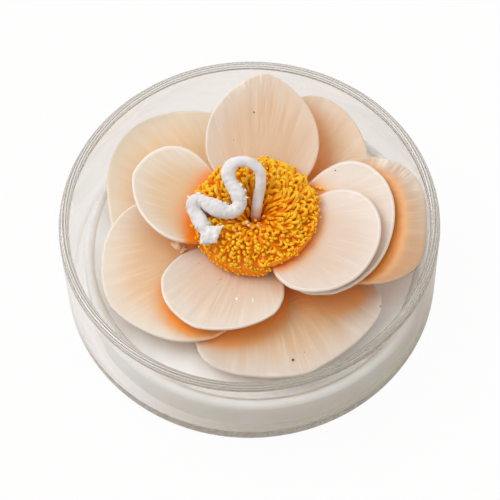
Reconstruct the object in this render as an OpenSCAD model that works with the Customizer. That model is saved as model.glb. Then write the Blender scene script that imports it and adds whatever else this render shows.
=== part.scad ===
// Scented soy candle: a wax flower on a wax disc, standing in a low glass dish.
// Millimetres, +Z up. The origin is the middle of the dish's foot, on the table.
// Heights of petals are told at their upper face. Directions are degrees
// anticlockwise from the right, seen from above.

/* [Glass dish] */
// Outer diameter of the dish
dish_d = 90; // [80:1:110]
// Height from the table to the lip
dish_h = 28; // [24:0.5:40]
// Thickness of the upright wall
wall = 2.4; // [1.6:0.1:3.2]
// Thickness of the glass floor
floor_t = 2.8; // [2:0.1:4]
// Radius of the outer corner between wall and foot
foot_round = 3; // [1:0.1:4]
// Radius of the inner corner between wall and floor
inner_round = 2; // [0.5:0.1:2.4]

/* [Wax disc] */
// Mean space that the shrunken wax leaves to the glass wall
disc_space = 1.4; // [1.2:0.1:3]
// How far the disc lies off the dish's middle, to the right
disc_shift = 1.1; // [0:0.1:1.1]
// Thickness of the disc
disc_t = 11.1; // [9:0.1:14]
// Radius of the disc's upper edge
disc_top_round = 1.2; // [0.4:0.1:2]
// Radius of the disc's lower edge, which clears the corner of the glass
disc_low_round = 2.6; // [2.4:0.1:3.5]

/* [Wick tab] */
// Diameter of the tin foot that holds the wick
tab_d = 14; // [10:0.5:20]
// Thickness of its sheet
tab_t = 0.4; // [0.3:0.1:0.8]
// Height of the neck that is crimped around the wick
tab_neck_h = 4; // [2:0.5:6]

/* [Wick] */
// Diameter of the waxed cotton wick
wick_d = 2.5; // [1.8:0.1:3]
// How much thicker its loosened half is than the smooth half
wick_swell = 1.2; // [1:0.05:1.3]
// How much wider the frayed end is than the loosened half
wick_flare = 1.5; // [1:0.1:1.8]
// Space around the wick in the holes that it runs through
wick_space = 0.2; // [0.1:0.05:0.4]

/* [Flower] */
// Middle of the flower, to the right of the dish's middle
flower_x = 1.5; // [0:0.1:3]
// Middle of the flower, behind the dish's middle
flower_y = 3.2; // [2:0.1:4]
// Distance from the flower's middle to the petals' roots
root_r = 4.5; // [4:0.1:6]
// Thickness of a petal along its middle
petal_t = 1.7; // [1.2:0.1:2.2]
// Thickness of a petal at its edge
petal_edge_t = 0.9; // [0.6:0.1:1.2]
// Space between two petals that lie on each other
petal_space = 0.2; // [0.2:0.05:0.6]
// How fast the root widens: 1 is round, more is slimmer
root_slim = 1.5; // [1.2:0.05:2]

/* [Stamen crown] */
// Diameter of the crown of stamens
crown_d = 29; // [24:0.5:31]
// Height of the crown over its pit around the wick
crown_h = 4; // [3:0.1:6]
// Thickness of the wax under the pit
pit_t = 1; // [0.8:0.1:2]
// Thickness of the crown's outer edge
crown_edge_t = 1.2; // [0.8:0.1:2]
// Number of ridges that the stamens form round the crown
ridges = 24; // [18:1:30]
// Height of a ridge over the furrow beside it
ridge_h = 0.9; // [0:0.1:1.2]

/* [Outer petal, back left] */
// Direction that it points to
back_left_turn = 144; // [138:1:148]
// Space between its tip and the glass
back_left_space = 1.1; // [0.6:0.1:4]
// Width, as a share of its length
back_left_breadth = 1.22; // [1:0.01:1.3]
// How much fuller it is towards the tip
back_left_fullness = -0.16; // [-0.2:0.01:0.1]
// How far the tip bends to its left
back_left_bend = -1.3; // [-3:0.1:1]
// Rise of the tip over the root
back_left_rise = 5.3; // [4:0.1:7]
// Rise of its middle over the straight line from root to tip
back_left_bow = -0.9; // [-1.2:0.1:1.2]
// Rise of the two sides over the middle
back_left_cup = 0.1; // [0:0.1:1]
// Rise of the left side near the tip, over the middle
back_left_tilt = -1.9; // [-2.5:0.1:0]
// Bluntness of the tip: below 1 is squarer, above 1 more pointed
back_left_point = 1.03; // [0.9:0.01:1.2]
// Layer of the stack that its root lies in, from 0 on the wax disc
back_left_layer = 0; // [0:0.1:0.2]

/* [Outer petal, front] */
// Direction that it points to
front_turn = -74; // [-80:1:-70]
// Space between its tip and the glass
front_space = 4.5; // [3:0.1:8]
// Width, as a share of its length
front_breadth = 1.2; // [1:0.01:1.3]
// How much fuller it is towards the tip
front_fullness = 0.4; // [0.2:0.01:0.45]
// How far the tip bends to its left
front_bend = -0.6; // [-2:0.1:1]
// Rise of the tip over the root
front_rise = 2.4; // [1.5:0.1:3]
// Rise of its middle over the straight line from root to tip
front_bow = 0; // [-1.2:0.1:1.2]
// Rise of the two sides over the middle
front_cup = 1.5; // [1:0.1:2]
// Rise of the left side near the tip, over the middle
front_tilt = 0.8; // [0:0.1:1.2]
// Bluntness of the tip: below 1 is squarer, above 1 more pointed
front_point = 1.6; // [1:0.01:1.8]
// Layer of the stack that its root lies in, from 0 on the wax disc
front_layer = 0; // [0:0.1:0.2]

/* [Outer petal, back right] */
// Direction that it points to
back_right_turn = 47; // [42:1:50]
// Space between its tip and the glass
back_right_space = 1.3; // [1:0.1:6]
// Width, as a share of its length
back_right_breadth = 0.95; // [0.8:0.01:1]
// How much fuller it is towards the tip
back_right_fullness = 0.06; // [-0.1:0.01:0.2]
// How far the tip bends to its left
back_right_bend = 6.1; // [4:0.1:6.5]
// Rise of the tip over the root
back_right_rise = 5.3; // [4:0.1:6]
// Rise of its middle over the straight line from root to tip
back_right_bow = -0.9; // [-1.2:0.1:1.2]
// Rise of the two sides over the middle
back_right_cup = 0.2; // [0:0.1:1]
// Rise of the left side near the tip, over the middle
back_right_tilt = 0.4; // [0:0.1:1]
// Bluntness of the tip: below 1 is squarer, above 1 more pointed
back_right_point = 0.96; // [0.8:0.01:1.1]
// Layer of the stack that its root lies in, from 0 on the wax disc
back_right_layer = 0.6; // [0.6:0.1:0.8]

/* [Outer petal, left] */
// Direction that it points to
left_turn = -151; // [-156:1:-146]
// Space between its tip and the glass
left_space = 4.8; // [1.5:0.1:6]
// Width, as a share of its length
left_breadth = 1.15; // [1:0.01:1.25]
// How much fuller it is towards the tip
left_fullness = -0.03; // [-0.1:0.01:0.15]
// How far the tip bends to its left
left_bend = 0.9; // [-1:0.1:2]
// Rise of the tip over the root
left_rise = 2.7; // [1.5:0.1:3.5]
// Rise of its middle over the straight line from root to tip
left_bow = 0; // [-1.2:0.1:1.2]
// Rise of the two sides over the middle
left_cup = 0.2; // [0:0.1:1]
// Rise of the left side near the tip, over the middle
left_tilt = 0.3; // [-0.5:0.1:1]
// Bluntness of the tip: below 1 is squarer, above 1 more pointed
left_point = 1.27; // [0.9:0.01:1.4]
// Layer of the stack that its root lies in, from 0 on the wax disc
left_layer = 1; // [1:0.1:1.2]

/* [Outer petal, right] */
// Direction that it points to
right_turn = -4; // [-8:1:0]
// Space between its tip and the glass
right_space = 0.5; // [0.4:0.1:4]
// Width, as a share of its length
right_breadth = 0.9; // [0.8:0.01:1]
// How much fuller it is towards the tip
right_fullness = 0.18; // [0.1:0.01:0.3]
// How far the tip bends to its left
right_bend = -2.7; // [-4:0.1:0]
// Rise of the tip over the root
right_rise = 9.2; // [8:0.1:10]
// Rise of its middle over the straight line from root to tip
right_bow = 0.7; // [-1.2:0.1:1.2]
// Rise of the two sides over the middle
right_cup = 2; // [1.6:0.1:2.4]
// Rise of the left side near the tip, over the middle
right_tilt = 2.6; // [2:0.1:3]
// Bluntness of the tip: below 1 is squarer, above 1 more pointed
right_point = 0.7; // [0.65:0.01:1]
// Layer of the stack that its root lies in, from 0 on the wax disc
right_layer = 1; // [1:0.1:1.2]

/* [Inner petal, right, lower] */
// Direction that it points to
under_right_turn = -16; // [-20:1:-12]
// Space between its tip and the glass
under_right_space = 9; // [8:0.1:12]
// Width, as a share of its length
under_right_breadth = 1.28; // [1.1:0.01:1.35]
// How much fuller it is towards the tip
under_right_fullness = 0.01; // [-0.1:0.01:0.1]
// How far the tip bends to its left
under_right_bend = 2; // [1:0.1:3]
// Rise of the tip over the root
under_right_rise = 7; // [6:0.1:8]
// Rise of its middle over the straight line from root to tip
under_right_bow = 0.6; // [-1.2:0.1:1.2]
// Rise of the two sides over the middle
under_right_cup = 2.5; // [2:0.1:3]
// Rise of the left side near the tip, over the middle
under_right_tilt = 2.2; // [1.5:0.1:2.6]
// Bluntness of the tip: below 1 is squarer, above 1 more pointed
under_right_point = 0.95; // [0.85:0.01:1.1]
// Layer of the stack that its root lies in, from 0 on the wax disc
under_right_layer = 2; // [2:0.1:2.2]

/* [Inner petal, left] */
// Direction that it points to
inner_left_turn = 167; // [162:1:172]
// Space between its tip and the glass
inner_left_space = 12.2; // [9:0.1:15]
// Width, as a share of its length
inner_left_breadth = 0.94; // [0.8:0.01:1.1]
// How much fuller it is towards the tip
inner_left_fullness = 0.18; // [0:0.01:0.25]
// How far the tip bends to its left
inner_left_bend = -4.8; // [-6:0.1:-3]
// Rise of the tip over the root
inner_left_rise = 6.7; // [5:0.1:8]
// Rise of its middle over the straight line from root to tip
inner_left_bow = 0.1; // [-1.2:0.1:1.2]
// Rise of the two sides over the middle
inner_left_cup = 3.1; // [2:0.1:4]
// Rise of the left side near the tip, over the middle
inner_left_tilt = 1.2; // [0:0.1:2]
// Bluntness of the tip: below 1 is squarer, above 1 more pointed
inner_left_point = 1.3; // [1:0.01:1.5]
// Layer of the stack that its root lies in, from 0 on the wax disc
inner_left_layer = 2; // [2:0.1:2.2]

/* [Inner petal, front] */
// Direction that it points to
inner_front_turn = -112; // [-118:1:-108]
// Space between its tip and the glass
inner_front_space = 14; // [11:0.1:18]
// Width, as a share of its length
inner_front_breadth = 1.04; // [0.9:0.01:1.15]
// How much fuller it is towards the tip
inner_front_fullness = 0.13; // [0:0.01:0.2]
// How far the tip bends to its left
inner_front_bend = -3; // [-5:0.1:-1]
// Rise of the tip over the root
inner_front_rise = 3.5; // [3:0.1:6]
// Rise of its middle over the straight line from root to tip
inner_front_bow = -0.7; // [-1.2:0.1:1.2]
// Rise of the two sides over the middle
inner_front_cup = 1.5; // [1:0.1:3]
// Rise of the left side near the tip, over the middle
inner_front_tilt = 0.3; // [-0.5:0.1:1]
// Bluntness of the tip: below 1 is squarer, above 1 more pointed
inner_front_point = 1.3; // [1:0.01:1.5]
// Layer of the stack that its root lies in, from 0 on the wax disc
inner_front_layer = 2; // [2:0.1:2.2]

/* [Inner petal, back] */
// Direction that it points to
inner_back_turn = 83; // [78:1:88]
// Space between its tip and the glass
inner_back_space = 1.9; // [0.8:0.1:5]
// Width, as a share of its length
inner_back_breadth = 0.84; // [0.7:0.01:0.95]
// How much fuller it is towards the tip
inner_back_fullness = -0.12; // [-0.2:0.01:0.1]
// How far the tip bends to its left
inner_back_bend = 0.9; // [-1:0.1:3]
// Rise of the tip over the root
inner_back_rise = 9.1; // [7:0.1:11]
// Rise of its middle over the straight line from root to tip
inner_back_bow = 0; // [-1.2:0.1:1.2]
// Rise of the two sides over the middle
inner_back_cup = 2.2; // [1.5:0.1:3]
// Rise of the left side near the tip, over the middle
inner_back_tilt = 0.3; // [-1:0.1:1]
// Bluntness of the tip: below 1 is squarer, above 1 more pointed
inner_back_point = 1.3; // [1:0.01:1.5]
// Layer of the stack that its root lies in, from 0 on the wax disc
inner_back_layer = 2.5; // [2.2:0.1:2.6]

/* [Inner petal, right, upper] */
// Direction that it points to
inner_right_turn = -29; // [-34:1:-24]
// Space between its tip and the glass
inner_right_space = 11.9; // [10:0.1:16]
// Width, as a share of its length
inner_right_breadth = 1.14; // [1:0.01:1.25]
// How much fuller it is towards the tip
inner_right_fullness = 0.07; // [0:0.01:0.15]
// How far the tip bends to its left
inner_right_bend = 0.5; // [-1:0.1:2]
// Rise of the tip over the root
inner_right_rise = 6.9; // [6:0.1:9]
// Rise of its middle over the straight line from root to tip
inner_right_bow = 0.4; // [-1.2:0.1:1.2]
// Rise of the two sides over the middle
inner_right_cup = 2.1; // [1.5:0.1:3]
// Rise of the left side near the tip, over the middle
inner_right_tilt = 0.2; // [-0.5:0.1:1]
// Bluntness of the tip: below 1 is squarer, above 1 more pointed
inner_right_point = 0.95; // [0.85:0.01:1.2]
// Layer of the stack that its root lies in, from 0 on the wax disc
inner_right_layer = 3; // [3:0.1:3.2]

/* [Hidden] */
$fn = 96;

// The glass and the disc that stands in it
inner_r = dish_d / 2 - wall;
disc_r = inner_r - disc_space;
disc_z = floor_t;
disc_top = disc_z + disc_t;
hole_r = wick_d / 2 + wick_space;
tab_seat_space = 0.2;
tab_neck_wall = 0.5;
// How far a cutter or a filling runs past the face that it meets
past = 1;

// Upper face of the petals' roots, one value for each layer
layer_step = petal_t + petal_space;
function layer_z(layer) = disc_top + petal_space + petal_edge_t + layer * layer_step;

// Length of a petal that stops a given space before the glass wall
function run_to_glass(turn) =
    let (ox = flower_x + root_r * cos(turn), oy = flower_y + root_r * sin(turn))
    let (along = ox * cos(turn) + oy * sin(turn))
    sqrt(along * along - ox * ox - oy * oy + inner_r * inner_r) - along;

// One petal: direction, length, width, fullness, bend, rise, bow, cup, tilt, point, layer
function petal(turn, space, breadth, fullness, bend, rise, bow, cup, tilt, point, layer) =
    let (len = run_to_glass(turn) - space)
    [turn, len, breadth * len, fullness, bend, rise, bow, cup, tilt, point, layer_z(layer)];

back_left = petal(back_left_turn, back_left_space, back_left_breadth, back_left_fullness,
    back_left_bend, back_left_rise, back_left_bow,
    back_left_cup, back_left_tilt, back_left_point, back_left_layer);
front = petal(front_turn, front_space, front_breadth, front_fullness,
    front_bend, front_rise, front_bow,
    front_cup, front_tilt, front_point, front_layer);
back_right = petal(back_right_turn, back_right_space, back_right_breadth, back_right_fullness,
    back_right_bend, back_right_rise, back_right_bow,
    back_right_cup, back_right_tilt, back_right_point, back_right_layer);
left = petal(left_turn, left_space, left_breadth, left_fullness,
    left_bend, left_rise, left_bow,
    left_cup, left_tilt, left_point, left_layer);
right = petal(right_turn, right_space, right_breadth, right_fullness,
    right_bend, right_rise, right_bow,
    right_cup, right_tilt, right_point, right_layer);
under_right = petal(under_right_turn, under_right_space, under_right_breadth, under_right_fullness,
    under_right_bend, under_right_rise, under_right_bow,
    under_right_cup, under_right_tilt, under_right_point, under_right_layer);
inner_left = petal(inner_left_turn, inner_left_space, inner_left_breadth, inner_left_fullness,
    inner_left_bend, inner_left_rise, inner_left_bow,
    inner_left_cup, inner_left_tilt, inner_left_point, inner_left_layer);
inner_front = petal(inner_front_turn, inner_front_space, inner_front_breadth, inner_front_fullness,
    inner_front_bend, inner_front_rise, inner_front_bow,
    inner_front_cup, inner_front_tilt, inner_front_point, inner_front_layer);
inner_back = petal(inner_back_turn, inner_back_space, inner_back_breadth, inner_back_fullness,
    inner_back_bend, inner_back_rise, inner_back_bow,
    inner_back_cup, inner_back_tilt, inner_back_point, inner_back_layer);
inner_right = petal(inner_right_turn, inner_right_space, inner_right_breadth, inner_right_fullness,
    inner_right_bend, inner_right_rise, inner_right_bow,
    inner_right_cup, inner_right_tilt, inner_right_point, inner_right_layer);
all_petals = [back_left, front, back_right, left, right,
    under_right, inner_left, inner_front, inner_back, inner_right];

// Upper face of a petal at share u of its length and share v of its half width
function petal_z(p, u, v) = p[10] + p[5] * u + p[6] * 4 * u * (1 - u) + p[7] * v * v + p[8] * v * u;

// Half width of a petal at share u of its length
function petal_half(p, u) =
    let (round_part = sqrt(max(0, 4 * u * (1 - u))))
    p[2] / 2 * pow(round_part, root_slim + (p[9] - root_slim) * u) * (1 - p[3] * (1 - 2 * u));

// Plan place of a petal's point, s along and w across, from the dish's middle
function petal_xy(p, s, w) = [
    flower_x + (root_r + s) * cos(p[0]) - w * sin(p[0]),
    flower_y + (root_r + s) * sin(p[0]) + w * cos(p[0])];

// A point of the petal's upper face, at share q of the way from its middle to its edge
function petal_point(p, angle, q, drop) =
    let (edge_u = (1 - cos(angle)) / 2)
    let (edge_w = sign(sin(angle)) * petal_half(p, edge_u))
    let (u = 0.5 + q * (edge_u - 0.5), w = q * edge_w)
    let (xy = petal_xy(p, u * p[1], w + p[4] * u * u))
    [xy[0], xy[1], petal_z(p, u, w / (p[2] / 2)) - drop];

// The petal's rings from the middle of its upper face, over the edge, to the underside
edge_steps = 36;
rim_share = 0.975;
face_shares = [0.36, 0.66, 0.86, rim_share];
function petal_thickness(q) = petal_edge_t + (petal_t - petal_edge_t) * (1 - q * q);
function petal_rings() = concat(
    [for (q = face_shares) [q, 0]],
    [[1, petal_edge_t / 2]],
    [for (i = [len(face_shares) - 1 : -1 : 0]) [face_shares[i], petal_thickness(face_shares[i])]]);

// Closes a stack of rings with a point at each end
function stack_faces(rings, steps) = concat(
    [for (i = [0 : steps - 1]) [0, 1 + (i + 1) % steps, 1 + i]],
    [for (r = [0 : rings - 2], i = [0 : steps - 1], half = [0, 1])
        let (a = 1 + r * steps + i, b = 1 + r * steps + (i + 1) % steps)
        half == 0 ? [a, b, b + steps] : [a, b + steps, a + steps]],
    [for (i = [0 : steps - 1])
        let (last = 1 + (rings - 1) * steps)
        [last + i, last + (i + 1) % steps, last + steps]]);

module petal_solid(p) {
    rings = petal_rings();
    points = concat(
        [petal_point(p, 0, 0, 0)],
        [for (ring = rings, i = [0 : edge_steps - 1]) petal_point(p, 360 * i / edge_steps, ring[0], ring[1])],
        [petal_point(p, 0, 0, petal_t)]);
    faces = [for (f = stack_faces(len(rings), edge_steps)) [f[2], f[1], f[0]]];
    polyhedron(points, faces, convexity = 6);
}

// Highest petal face over a place in plan, or the given height where no petal lies.
// A petal counts as a little larger than it is, and its root as wide as a little way along it.
cover_margin = 1.3;
cover_behind = 0.06;
cover_root = 0.08;
function cover(p, x, y) =
    let (dx = x - flower_x, dy = y - flower_y)
    let (s = dx * cos(p[0]) + dy * sin(p[0]) - root_r, w0 = dy * cos(p[0]) - dx * sin(p[0]))
    let (u = s / p[1], w = w0 - p[4] * u * u)
    u > -cover_behind && u < 1 && abs(w) < petal_half(p, max(u, cover_root)) + cover_margin
        ? petal_z(p, max(u, 0), w / (p[2] / 2)) : 0;
function covered_z(x, y, bare_z) = max(concat([bare_z], [for (p = all_petals) cover(p, x, y)]));

// The crown is a ring of mounds: its underside follows the petals, its top is ridged
crown_r = crown_d / 2;
crown_steps = ridges * 4;
crown_seat = 0.5;
crown_floor = layer_z(inner_right_layer) + pit_t;
// The stem stands inside the petals' roots, and widens into the crown's underside
stem_space = 0.4;
stem_r = root_r - stem_space;
stem_throat = 0.5;
throat_r = stem_r + stem_throat;
// Flat ring of wax between the hole for the wick and the mounds
pit_ring = 0.6;
mound_lean = 0.75;
mound_fullness = 0.8;
ridge_start = 0.3;
ridge_slope = 4;
bead_length = 0.24;
bead_share = 0.25;
under_radii = concat([for (share = [1, 0.88, 0.76, 0.64, 0.52, 0.42]) share * crown_r], [throat_r]);
top_radii = concat([hole_r + pit_ring],
    [for (share = [0.27, 0.4, 0.52, 0.64, 0.76, 0.88, 1]) share * crown_r]);
function crown_under(r, angle) =
    covered_z(flower_x + r * cos(angle), flower_y + r * sin(angle), layer_z(1)) + crown_seat;
// Ridges swing from furrow to crest once in each four steps, and beads ride on every crest
function crown_ridge(r, angle) =
    ridge_h * (0.5 - 0.5 * cos(ridges * angle))
        * (1 - bead_share + bead_share * cos(360 * r / (bead_length * crown_r)))
        * min(1, max(0, (r / crown_r - ridge_start) * ridge_slope));
function crown_mound(r) =
    let (share = (r - hole_r) / (crown_r - hole_r))
    crown_h * pow(sin(180 * pow(share, mound_lean)), mound_fullness) + crown_edge_t * share;
function crown_top(r, angle) =
    max(crown_floor + crown_mound(r), crown_under(r, angle) + crown_edge_t) + crown_ridge(r, angle);
function crown_place(r, angle, z) = [flower_x + r * cos(angle), flower_y + r * sin(angle), z];

module crown_solid() {
    // Each ring is a radius and how its heights are found; the last meets the first
    out_r = crown_r + ridge_h / 2;
    rings = concat(
        [[hole_r, "seat"], [stem_r, "seat"], [stem_r, "neck"]],
        [for (i = [len(under_radii) - 1 : -1 : 0]) [under_radii[i], "under"]],
        [[out_r, "side"]],
        [for (i = [len(top_radii) - 1 : -1 : 0]) [top_radii[i], "top"]],
        [[hole_r, "pit"]]);
    neck_z = min([for (i = [0 : crown_steps - 1]) crown_under(throat_r, 360 * i / crown_steps)]);
    points = [for (ring = rings, i = [0 : crown_steps - 1])
        let (angle = 360 * i / crown_steps)
        crown_place(ring[0], angle,
            ring[1] == "seat" ? disc_top :
            ring[1] == "neck" ? neck_z :
            ring[1] == "under" ? crown_under(ring[0], angle) :
            ring[1] == "side" ? (crown_under(crown_r, angle) + crown_top(crown_r, angle)) / 2 :
            ring[1] == "top" ? crown_top(ring[0], angle) : crown_floor)];
    faces = [for (r = [0 : len(rings) - 1], i = [0 : crown_steps - 1], half = [0, 1])
        let (next = (r + 1) % len(rings))
        let (a = r * crown_steps + i, b = r * crown_steps + (i + 1) % crown_steps)
        let (c = next * crown_steps + (i + 1) % crown_steps, d = next * crown_steps + i)
        half == 0 ? [a, c, b] : [a, d, c]];
    polyhedron(points, faces, convexity = 8);
}

// The wick's route over the pit, from the flower's middle and the pit's floor.
// It leans back, curls over to the left and folds back on itself at its end.
wick_route = [[0, 0, 1.8], [0.2, 0.4, 3.4], [0.6, 2, 5.2], [1.3, 4.2, 7.2], [1.6, 5.9, 9.2],
    [1.3, 7.2, 10.8], [0.1, 8.2, 11.8], [-1.6, 8.8, 12.3], [-3.4, 9, 12.3], [-5.2, 8.4, 12],
    [-6.3, 6.8, 11.3], [-6, 5.1, 10.4], [-5, 3.6, 9.6], [-4, 2, 8.8], [-3.5, 0.4, 8],
    [-4.1, -1.3, 7.5], [-5.6, -2, 7.2], [-7.4, -1.7, 7.1], [-9.3, -0.6, 7.1], [-11.2, 0.6, 7.1],
    [-12.9, 1.6, 7], [-14.6, 2, 6.8], [-15.5, 0.8, 6.4], [-15, -0.8, 6], [-13.7, -2.6, 5.6],
    [-12.2, -4.6, 5.4], [-11.2, -6.6, 5.1], [-10.8, -8.4, 4.8]];
wick_foot_space = 0.4;
wick_lowest = disc_z + tab_t + wick_foot_space;
wick_path = concat(
    [[flower_x, flower_y, wick_lowest]],
    [for (p = wick_route) [flower_x + p[0], flower_y + p[1], crown_floor + p[2]]]);
wick_sides = 10;
// Points of the route where the braid starts to loosen, over which it swells, and that end flared
loosens_at = 8;
loosens_over = 5;
flare_length = 3;
// Across the view of the loops: no stretch of the wick runs along this line
wick_up = [0, -0.5, 0.87];

function unit(v) = v / norm(v);
function wick_way(i) =
    unit(wick_path[min(i + 1, len(wick_path) - 1)] - wick_path[max(i - 1, 0)]);
function wick_loose(i) = 1 + (wick_swell - 1) * min(1, max(0, (i - loosens_at) / loosens_over));
function wick_width(i) =
    let (left_over = len(wick_path) - 1 - i)
    wick_loose(i) * (left_over < flare_length ? 1 + (wick_flare - 1) * (1 - left_over / flare_length) : 1);
function wick_ring(i) =
    let (way = i == 0 ? [0, 0, 1] : wick_way(i))
    let (across = unit(cross(way, wick_up)), over = cross(across, way))
    [for (k = [0 : wick_sides - 1])
        wick_path[i] + wick_d / 2 * (wick_width(i) * cos(360 * k / wick_sides) * across
            + wick_loose(i) * sin(360 * k / wick_sides) * over)];

module wick_solid() {
    count = len(wick_path);
    points = concat([wick_path[0]], [for (i = [0 : count - 1]) each wick_ring(i)], [wick_path[count - 1]]);
    polyhedron(points, stack_faces(count, wick_sides), convexity = 8);
}

module glass_dish() {
    lip = wall / 2;
    color("#e8eeec", 0.35)
    rotate_extrude($fn = 192)
    difference() {
        union() {
            translate([0, foot_round]) square([dish_d / 2, dish_h - foot_round - lip]);
            square([dish_d / 2 - foot_round, foot_round + past]);
            translate([dish_d / 2 - foot_round, foot_round]) circle(foot_round);
            translate([dish_d / 2 - lip, dish_h - lip]) circle(lip);
        }
        translate([0, floor_t + inner_round]) square([inner_r, dish_h]);
        translate([0, floor_t]) square([inner_r - inner_round, dish_h]);
        translate([inner_r - inner_round, floor_t + inner_round]) circle(inner_round);
    }
}

module wick_tab() {
    neck_r = hole_r + tab_neck_wall;
    color("silver")
    translate([flower_x, flower_y, disc_z])
    difference() {
        union() {
            cylinder(h = tab_t, d = tab_d);
            cylinder(h = tab_t + tab_neck_h, r = neck_r);
        }
        translate([0, 0, tab_t]) cylinder(h = tab_neck_h + past, r = hole_r);
    }
}

module wax_disc() {
    neck_r = hole_r + tab_neck_wall + tab_seat_space;
    color("#f7eeee")
    difference() {
        translate([disc_shift, 0, disc_z])
        rotate_extrude($fn = 192)
        union() {
            translate([0, disc_low_round]) square([disc_r, disc_t - disc_low_round - disc_top_round]);
            square([disc_r - disc_low_round, disc_t]);
            translate([disc_r - disc_low_round, disc_low_round]) circle(disc_low_round);
            translate([disc_r - disc_top_round, disc_t - disc_top_round]) circle(disc_top_round);
        }
        translate([flower_x, flower_y, 0]) {
            cylinder(h = disc_top + past, r = hole_r);
            cylinder(h = disc_z + tab_t + tab_neck_h + tab_seat_space, r = neck_r);
            cylinder(h = disc_z + tab_t + tab_seat_space, d = tab_d + 2 * tab_seat_space);
        }
    }
}

module wick() {
    color("white") wick_solid();
}

module stamen_crown() {
    color("#f2a81c") crown_solid();
}

module outer_petal_back_left() {
    color("#efc9a6") petal_solid(back_left);
}

module outer_petal_front() {
    color("#f0c09a") petal_solid(front);
}

module outer_petal_back_right() {
    color("#eccaa8") petal_solid(back_right);
}

module outer_petal_left() {
    color("#f1cdab") petal_solid(left);
}

module outer_petal_right() {
    color("#ecc3a0") petal_solid(right);
}

module inner_petal_lower_right() {
    color("#f3d9c6") petal_solid(under_right);
}

module inner_petal_left() {
    color("#ecd6c0") petal_solid(inner_left);
}

module inner_petal_front() {
    color("#f1dccd") petal_solid(inner_front);
}

module inner_petal_back() {
    color("#efd5bf") petal_solid(inner_back);
}

module inner_petal_upper_right() {
    color("#f5e0d2") petal_solid(inner_right);
}

glass_dish();
wick_tab();
wax_disc();
wick();
stamen_crown();
outer_petal_back_left();
outer_petal_front();
outer_petal_back_right();
outer_petal_left();
outer_petal_right();
inner_petal_lower_right();
inner_petal_left();
inner_petal_front();
inner_petal_back();
inner_petal_upper_right();
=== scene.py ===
# Scented soy candle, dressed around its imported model: a wax flower on a wax disc in a glass dish.
# Everything is in metres, +X right, +Y back, +Z up, with the dish's foot at the origin.
import math

import bmesh
import bpy
from mathutils import Matrix, Vector
from mathutils.noise import noise as noise_at
from mathutils.bvhtree import BVHTree


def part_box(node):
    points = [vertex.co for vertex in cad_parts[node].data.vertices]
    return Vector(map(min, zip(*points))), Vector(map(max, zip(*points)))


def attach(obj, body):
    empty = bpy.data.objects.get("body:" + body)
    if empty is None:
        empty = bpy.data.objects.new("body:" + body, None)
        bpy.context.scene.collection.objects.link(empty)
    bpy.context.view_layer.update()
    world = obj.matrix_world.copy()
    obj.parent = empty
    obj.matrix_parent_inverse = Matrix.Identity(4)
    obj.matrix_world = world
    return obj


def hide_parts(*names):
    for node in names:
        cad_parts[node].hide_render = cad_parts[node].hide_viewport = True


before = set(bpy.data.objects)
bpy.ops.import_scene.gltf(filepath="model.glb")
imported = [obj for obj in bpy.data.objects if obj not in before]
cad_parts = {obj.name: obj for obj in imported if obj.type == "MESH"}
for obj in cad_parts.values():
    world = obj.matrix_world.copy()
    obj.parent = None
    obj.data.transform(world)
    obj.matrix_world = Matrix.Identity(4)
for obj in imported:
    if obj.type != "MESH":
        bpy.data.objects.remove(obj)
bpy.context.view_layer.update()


# Glass dish: one pressed piece of clear soda-lime glass with a fire-polished lip.
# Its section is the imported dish's, turned in finer steps, so that light bends smoothly in its lip.
mm = 0.001
dish_low, dish_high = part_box("glass_dish")
dish_r = -dish_low.x
wall = 2.4 * mm
inner_r = dish_high.x - wall
lip_r = wall / 2
foot_round = 3 * mm
glass_floor = 2.8 * mm
inner_round = 2 * mm


def colour(code):
    """A colour as Blender wants it, from its usual code such as #f2dccf."""
    parts = [int(code[i:i + 2], 16) / 255 for i in (1, 3, 5)]
    return [p / 12.92 if p <= 0.04045 else ((p + 0.055) / 1.055) ** 2.4 for p in parts] + [1.0]


class Term:
    """A number that runs through a node tree, so that a formula reads as plain arithmetic."""

    def __init__(self, tree, socket):
        self.tree = tree
        self.socket = socket

    def __add__(self, other):
        return reckon("ADD", self, other)

    def __radd__(self, other):
        return reckon("ADD", other, self)

    def __sub__(self, other):
        return reckon("SUBTRACT", self, other)

    def __rsub__(self, other):
        return reckon("SUBTRACT", other, self)

    def __mul__(self, other):
        return reckon("MULTIPLY", self, other)

    def __rmul__(self, other):
        return reckon("MULTIPLY", other, self)

    def __truediv__(self, other):
        return reckon("DIVIDE", self, other)

    def __pow__(self, other):
        return reckon("POWER", self, other)


def feed(tree, socket, value):
    """Links a term or another node's socket to a socket, or sets the socket to a plain value."""
    if isinstance(value, Term):
        value = value.socket
    if isinstance(value, bpy.types.NodeSocket):
        tree.links.new(value, socket)
    else:
        socket.default_value = value


def add_node(tree, kind, settings=None, **values):
    """A node with its settings, its inputs fed by name (an underscore stands for a space)."""
    node = tree.nodes.new(kind)
    for name, value in (settings or {}).items():
        setattr(node, name, value)
    for name, value in values.items():
        feed(tree, node.inputs[name.replace("_", " ")], value)
    return node


def fetch(tree, kind, settings=None, **values):
    """What a new node gives first, as a term."""
    return Term(tree, add_node(tree, kind, settings, **values).outputs[0])


def reckon(operation, *values):
    """One step of arithmetic between terms and plain numbers."""
    tree = next(v.tree for v in values if isinstance(v, Term))
    node = tree.nodes.new("ShaderNodeMath")
    node.operation = operation
    for socket, value in zip(node.inputs, values):
        feed(tree, socket, value)
    return Term(tree, node.outputs[0])


def ramp(value, low, high):
    """0 below low, 1 above high and a smooth rise between them."""
    node = add_node(value.tree, "ShaderNodeMapRange", {"interpolation_type": "SMOOTHSTEP"})
    for socket, number in zip(node.inputs[:5], (value, low, high, 0.0, 1.0)):
        feed(value.tree, socket, number)
    return Term(value.tree, node.outputs[0])


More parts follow.
